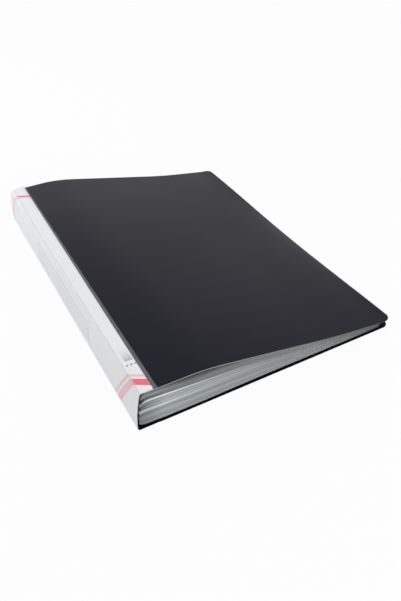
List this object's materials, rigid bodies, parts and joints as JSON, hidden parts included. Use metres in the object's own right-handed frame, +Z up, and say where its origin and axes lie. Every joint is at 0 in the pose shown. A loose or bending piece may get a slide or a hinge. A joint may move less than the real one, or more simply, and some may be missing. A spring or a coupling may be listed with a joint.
{
  "type": "clear pocket display book",
  "caption": "Display book: a dark folded plastic cover holding welded packs of clear film pockets that turn like pages, with a printed card in a clear sleeve round the spine.",
  "frame": {"origin": "middle of the closed book's footprint, on the surface that its back cover lies on", "axes": "+X from the spine to the fore edge, +Y along the spine to the open ends of the pockets, +Z up"},
  "size_m": [0.24, 0.31, 0.0375],
  "materials": {
    "cover": "satin",
    "card": "satin",
    "sleeve_film": "gloss",
    "weld_strip": "satin",
    "pocket_film": "gloss"
  },
  "bodies": {
    "back_cover": {"back_cover": "cover", "label_back": "card", "sleeve_back": "sleeve_film"},
    "spine": {"spine_panel": "cover", "label_spine": "card", "sleeve_spine": "sleeve_film", "weld_strip_1": "weld_strip", "weld_strip_2": "weld_strip", "weld_strip_3": "weld_strip", "weld_strip_4": "weld_strip"},
    "front_cover": {"front_cover": "cover", "label_front": "card", "sleeve_front": "sleeve_film"},
    "pocket_01": {"pocket_01": "pocket_film"},
    "pocket_02": {"pocket_02": "pocket_film"},
    "pocket_03": {"pocket_03": "pocket_film"},
    "pocket_04": {"pocket_04": "pocket_film"},
    "pocket_05": {"pocket_05": "pocket_film"},
    "pocket_06": {"pocket_06": "pocket_film"},
    "pocket_07": {"pocket_07": "pocket_film"},
    "pocket_08": {"pocket_08": "pocket_film"},
    "pocket_09": {"pocket_09": "pocket_film"},
    "pocket_10": {"pocket_10": "pocket_film"},
    "pocket_11": {"pocket_11": "pocket_film"},
    "pocket_12": {"pocket_12": "pocket_film"},
    "pocket_13": {"pocket_13": "pocket_film"},
    "pocket_14": {"pocket_14": "pocket_film"},
    "pocket_15": {"pocket_15": "pocket_film"},
    "pocket_16": {"pocket_16": "pocket_film"},
    "pocket_17": {"pocket_17": "pocket_film"},
    "pocket_18": {"pocket_18": "pocket_film"},
    "pocket_19": {"pocket_19": "pocket_film"},
    "pocket_20": {"pocket_20": "pocket_film"},
    "pocket_21": {"pocket_21": "pocket_film"},
    "pocket_22": {"pocket_22": "pocket_film"},
    "pocket_23": {"pocket_23": "pocket_film"},
    "pocket_24": {"pocket_24": "pocket_film"},
    "pocket_25": {"pocket_25": "pocket_film"},
    "pocket_26": {"pocket_26": "pocket_film"},
    "pocket_27": {"pocket_27": "pocket_film"},
    "pocket_28": {"pocket_28": "pocket_film"},
    "pocket_29": {"pocket_29": "pocket_film"},
    "pocket_30": {"pocket_30": "pocket_film"},
    "pocket_31": {"pocket_31": "pocket_film"},
    "pocket_32": {"pocket_32": "pocket_film"},
    "pocket_33": {"pocket_33": "pocket_film"},
    "pocket_34": {"pocket_34": "pocket_film"},
    "pocket_35": {"pocket_35": "pocket_film"},
    "pocket_36": {"pocket_36": "pocket_film"},
    "pocket_37": {"pocket_37": "pocket_film"},
    "pocket_38": {"pocket_38": "pocket_film"},
    "pocket_39": {"pocket_39": "pocket_film"},
    "pocket_40": {"pocket_40": "pocket_film"}
  },
  "joints": [
    {"name": "back_crease", "type": "hinge", "parent": "back_cover", "child": "spine", "pos_m": [-0.11885, 0, 0.00088], "axis": [0, -1, 0], "range_deg": [0, 86]},
    {"name": "front_crease", "type": "hinge", "parent": "spine", "child": "front_cover", "pos_m": [-0.11665, 0, 0.03662], "axis": [0, -1, 0], "range_deg": [0, 96]},
    {"name": "pocket_40_turn", "type": "hinge", "parent": "spine", "child": "pocket_40", "pos_m": [-0.11746, 0, 0.00453], "axis": [0, -1, 0], "range_deg": [-70, 0]},
    {"name": "pocket_39_turn", "type": "hinge", "parent": "spine", "child": "pocket_39", "pos_m": [-0.11746, 0, 0.00503], "axis": [0, -1, 0], "range_deg": [-66.41, 0]},
    {"name": "pocket_38_turn", "type": "hinge", "parent": "spine", "child": "pocket_38", "pos_m": [-0.11746, 0, 0.00553], "axis": [0, -1, 0], "range_deg": [-62.82, 0]},
    {"name": "pocket_37_turn", "type": "hinge", "parent": "spine", "child": "pocket_37", "pos_m": [-0.11746, 0, 0.00603], "axis": [0, -1, 0], "range_deg": [-59.23, 0]},
    {"name": "pocket_36_turn", "type": "hinge", "parent": "spine", "child": "pocket_36", "pos_m": [-0.11746, 0, 0.00653], "axis": [0, -1, 0], "range_deg": [-55.64, 0]},
    {"name": "pocket_35_turn", "type": "hinge", "parent": "spine", "child": "pocket_35", "pos_m": [-0.11746, 0, 0.00703], "axis": [0, -1, 0], "range_deg": [-52.05, 0]},
    {"name": "pocket_34_turn", "type": "hinge", "parent": "spine", "child": "pocket_34", "pos_m": [-0.11746, 0, 0.00753], "axis": [0, -1, 0], "range_deg": [-48.46, 0]},
    {"name": "pocket_33_turn", "type": "hinge", "parent": "spine", "child": "pocket_33", "pos_m": [-0.11746, 0, 0.00803], "axis": [0, -1, 0], "range_deg": [-44.87, 0]},
    {"name": "pocket_32_turn", "type": "hinge", "parent": "spine", "child": "pocket_32", "pos_m": [-0.11746, 0, 0.00853], "axis": [0, -1, 0], "range_deg": [-41.28, 0]},
    {"name": "pocket_31_turn", "type": "hinge", "parent": "spine", "child": "pocket_31", "pos_m": [-0.11746, 0, 0.00903], "axis": [0, -1, 0], "range_deg": [-37.69, 0]},
    {"name": "pocket_30_turn", "type": "hinge", "parent": "spine", "child": "pocket_30", "pos_m": [-0.11742, 0, 0.01164], "axis": [0, -1, 0], "range_deg": [-34.1, 0]},
    {"name": "pocket_29_turn", "type": "hinge", "parent": "spine", "child": "pocket_29", "pos_m": [-0.11742, 0, 0.01214], "axis": [0, -1, 0], "range_deg": [-30.51, 0]},
    {"name": "pocket_28_turn", "type": "hinge", "parent": "spine", "child": "pocket_28", "pos_m": [-0.11742, 0, 0.01264], "axis": [0, -1, 0], "range_deg": [-26.92, 0]},
    {"name": "pocket_27_turn", "type": "hinge", "parent": "spine", "child": "pocket_27", "pos_m": [-0.11742, 0, 0.01314], "axis": [0, -1, 0], "range_deg": [-23.33, 0]},
    {"name": "pocket_26_turn", "type": "hinge", "parent": "spine", "child": "pocket_26", "pos_m": [-0.11742, 0, 0.01364], "axis": [0, -1, 0], "range_deg": [-19.75, 0]},
    {"name": "pocket_25_turn", "type": "hinge", "parent": "spine", "child": "pocket_25", "pos_m": [-0.11742, 0, 0.01414], "axis": [0, -1, 0], "range_deg": [-16.16, 0]},
    {"name": "pocket_24_turn", "type": "hinge", "parent": "spine", "child": "pocket_24", "pos_m": [-0.11742, 0, 0.01464], "axis": [0, -1, 0], "range_deg": [-12.56, 0]},
    {"name": "pocket_23_turn", "type": "hinge", "parent": "spine", "child": "pocket_23", "pos_m": [-0.11742, 0, 0.01514], "axis": [0, -1, 0], "range_deg": [-8.97, 0]},
    {"name": "pocket_22_turn", "type": "hinge", "parent": "spine", "child": "pocket_22", "pos_m": [-0.11742, 0, 0.01564], "axis": [0, -1, 0], "range_deg": [-5.39, 0]},
    {"name": "pocket_21_turn", "type": "hinge", "parent": "spine", "child": "pocket_21", "pos_m": [-0.11742, 0, 0.01614], "axis": [0, -1, 0], "range_deg": [-1.8, 0]},
    {"name": "pocket_20_turn", "type": "hinge", "parent": "spine", "child": "pocket_20", "pos_m": [-0.11691, 0, 0.01876], "axis": [0, -1, 0], "range_deg": [0, 1.95]},
    {"name": "pocket_19_turn", "type": "hinge", "parent": "spine", "child": "pocket_19", "pos_m": [-0.11691, 0, 0.01926], "axis": [0, -1, 0], "range_deg": [0, 5.85]},
    {"name": "pocket_18_turn", "type": "hinge", "parent": "spine", "child": "pocket_18", "pos_m": [-0.11691, 0, 0.01976], "axis": [0, -1, 0], "range_deg": [0, 9.74]},
    {"name": "pocket_17_turn", "type": "hinge", "parent": "spine", "child": "pocket_17", "pos_m": [-0.11691, 0, 0.02026], "axis": [0, -1, 0], "range_deg": [0, 13.64]},
    {"name": "pocket_16_turn", "type": "hinge", "parent": "spine", "child": "pocket_16", "pos_m": [-0.11691, 0, 0.02076], "axis": [0, -1, 0], "range_deg": [0, 17.54]},
    {"name": "pocket_15_turn", "type": "hinge", "parent": "spine", "child": "pocket_15", "pos_m": [-0.11691, 0, 0.02126], "axis": [0, -1, 0], "range_deg": [0, 21.44]},
    {"name": "pocket_14_turn", "type": "hinge", "parent": "spine", "child": "pocket_14", "pos_m": [-0.11691, 0, 0.02176], "axis": [0, -1, 0], "range_deg": [0, 25.33]},
    {"name": "pocket_13_turn", "type": "hinge", "parent": "spine", "child": "pocket_13", "pos_m": [-0.11691, 0, 0.02226], "axis": [0, -1, 0], "range_deg": [0, 29.23]},
    {"name": "pocket_12_turn", "type": "hinge", "parent": "spine", "child": "pocket_12", "pos_m": [-0.11691, 0, 0.02276], "axis": [0, -1, 0], "range_deg": [0, 33.13]},
    {"name": "pocket_11_turn", "type": "hinge", "parent": "spine", "child": "pocket_11", "pos_m": [-0.11691, 0, 0.02326], "axis": [0, -1, 0], "range_deg": [0, 37.03]},
    {"name": "pocket_10_turn", "type": "hinge", "parent": "spine", "child": "pocket_10", "pos_m": [-0.11606, 0, 0.02587], "axis": [0, -1, 0], "range_deg": [0, 40.92]},
    {"name": "pocket_09_turn", "type": "hinge", "parent": "spine", "child": "pocket_09", "pos_m": [-0.11606, 0, 0.02637], "axis": [0, -1, 0], "range_deg": [0, 44.82]},
    {"name": "pocket_08_turn", "type": "hinge", "parent": "spine", "child": "pocket_08", "pos_m": [-0.11606, 0, 0.02687], "axis": [0, -1, 0], "range_deg": [0, 48.72]},
    {"name": "pocket_07_turn", "type": "hinge", "parent": "spine", "child": "pocket_07", "pos_m": [-0.11606, 0, 0.02737], "axis": [0, -1, 0], "range_deg": [0, 52.62]},
    {"name": "pocket_06_turn", "type": "hinge", "parent": "spine", "child": "pocket_06", "pos_m": [-0.11606, 0, 0.02787], "axis": [0, -1, 0], "range_deg": [0, 56.51]},
    {"name": "pocket_05_turn", "type": "hinge", "parent": "spine", "child": "pocket_05", "pos_m": [-0.11606, 0, 0.02837], "axis": [0, -1, 0], "range_deg": [0, 60.41]},
    {"name": "pocket_04_turn", "type": "hinge", "parent": "spine", "child": "pocket_04", "pos_m": [-0.11606, 0, 0.02887], "axis": [0, -1, 0], "range_deg": [0, 64.31]},
    {"name": "pocket_03_turn", "type": "hinge", "parent": "spine", "child": "pocket_03", "pos_m": [-0.11606, 0, 0.02937], "axis": [0, -1, 0], "range_deg": [0, 68.21]},
    {"name": "pocket_02_turn", "type": "hinge", "parent": "spine", "child": "pocket_02", "pos_m": [-0.11606, 0, 0.02987], "axis": [0, -1, 0], "range_deg": [0, 72.1]},
    {"name": "pocket_01_turn", "type": "hinge", "parent": "spine", "child": "pocket_01", "pos_m": [-0.11606, 0, 0.03037], "axis": [0, -1, 0], "range_deg": [0, 76]}
  ],
  "couplings": [
    {"joint": "pocket_40_turn", "follows": "back_crease", "ratio": -0.81395},
    {"joint": "pocket_39_turn", "follows": "back_crease", "ratio": -0.77221},
    {"joint": "pocket_38_turn", "follows": "back_crease", "ratio": -0.73048},
    {"joint": "pocket_37_turn", "follows": "back_crease", "ratio": -0.68873},
    {"joint": "pocket_36_turn", "follows": "back_crease", "ratio": -0.64699},
    {"joint": "pocket_35_turn", "follows": "back_crease", "ratio": -0.60524},
    {"joint": "pocket_34_turn", "follows": "back_crease", "ratio": -0.56351},
    {"joint": "pocket_33_turn", "follows": "back_crease", "ratio": -0.52177},
    {"joint": "pocket_32_turn", "follows": "back_crease", "ratio": -0.48002},
    {"joint": "pocket_31_turn", "follows": "back_crease", "ratio": -0.43828},
    {"joint": "pocket_30_turn", "follows": "back_crease", "ratio": -0.39655},
    {"joint": "pocket_29_turn", "follows": "back_crease", "ratio": -0.3548},
    {"joint": "pocket_28_turn", "follows": "back_crease", "ratio": -0.31306},
    {"joint": "pocket_27_turn", "follows": "back_crease", "ratio": -0.27131},
    {"joint": "pocket_26_turn", "follows": "back_crease", "ratio": -0.22958},
    {"joint": "pocket_25_turn", "follows": "back_crease", "ratio": -0.18784},
    {"joint": "pocket_24_turn", "follows": "back_crease", "ratio": -0.14609},
    {"joint": "pocket_23_turn", "follows": "back_crease", "ratio": -0.10435},
    {"joint": "pocket_22_turn", "follows": "back_crease", "ratio": -0.062616},
    {"joint": "pocket_21_turn", "follows": "back_crease", "ratio": -0.020872},
    {"joint": "pocket_20_turn", "follows": "front_crease", "ratio": 0.020302},
    {"joint": "pocket_19_turn", "follows": "front_crease", "ratio": 0.060896},
    {"joint": "pocket_18_turn", "follows": "front_crease", "ratio": 0.1015},
    {"joint": "pocket_17_turn", "follows": "front_crease", "ratio": 0.14209},
    {"joint": "pocket_16_turn", "follows": "front_crease", "ratio": 0.18269},
    {"joint": "pocket_15_turn", "follows": "front_crease", "ratio": 0.22329},
    {"joint": "pocket_14_turn", "follows": "front_crease", "ratio": 0.26388},
    {"joint": "pocket_13_turn", "follows": "front_crease", "ratio": 0.30449},
    {"joint": "pocket_12_turn", "follows": "front_crease", "ratio": 0.34508},
    {"joint": "pocket_11_turn", "follows": "front_crease", "ratio": 0.38569},
    {"joint": "pocket_10_turn", "follows": "front_crease", "ratio": 0.42628},
    {"joint": "pocket_09_turn", "follows": "front_crease", "ratio": 0.46688},
    {"joint": "pocket_08_turn", "follows": "front_crease", "ratio": 0.50748},
    {"joint": "pocket_07_turn", "follows": "front_crease", "ratio": 0.54807},
    {"joint": "pocket_06_turn", "follows": "front_crease", "ratio": 0.58868},
    {"joint": "pocket_05_turn", "follows": "front_crease", "ratio": 0.62927},
    {"joint": "pocket_04_turn", "follows": "front_crease", "ratio": 0.66987},
    {"joint": "pocket_03_turn", "follows": "front_crease", "ratio": 0.71047},
    {"joint": "pocket_02_turn", "follows": "front_crease", "ratio": 0.75107},
    {"joint": "pocket_01_turn", "follows": "front_crease", "ratio": 0.79167}
  ]
}
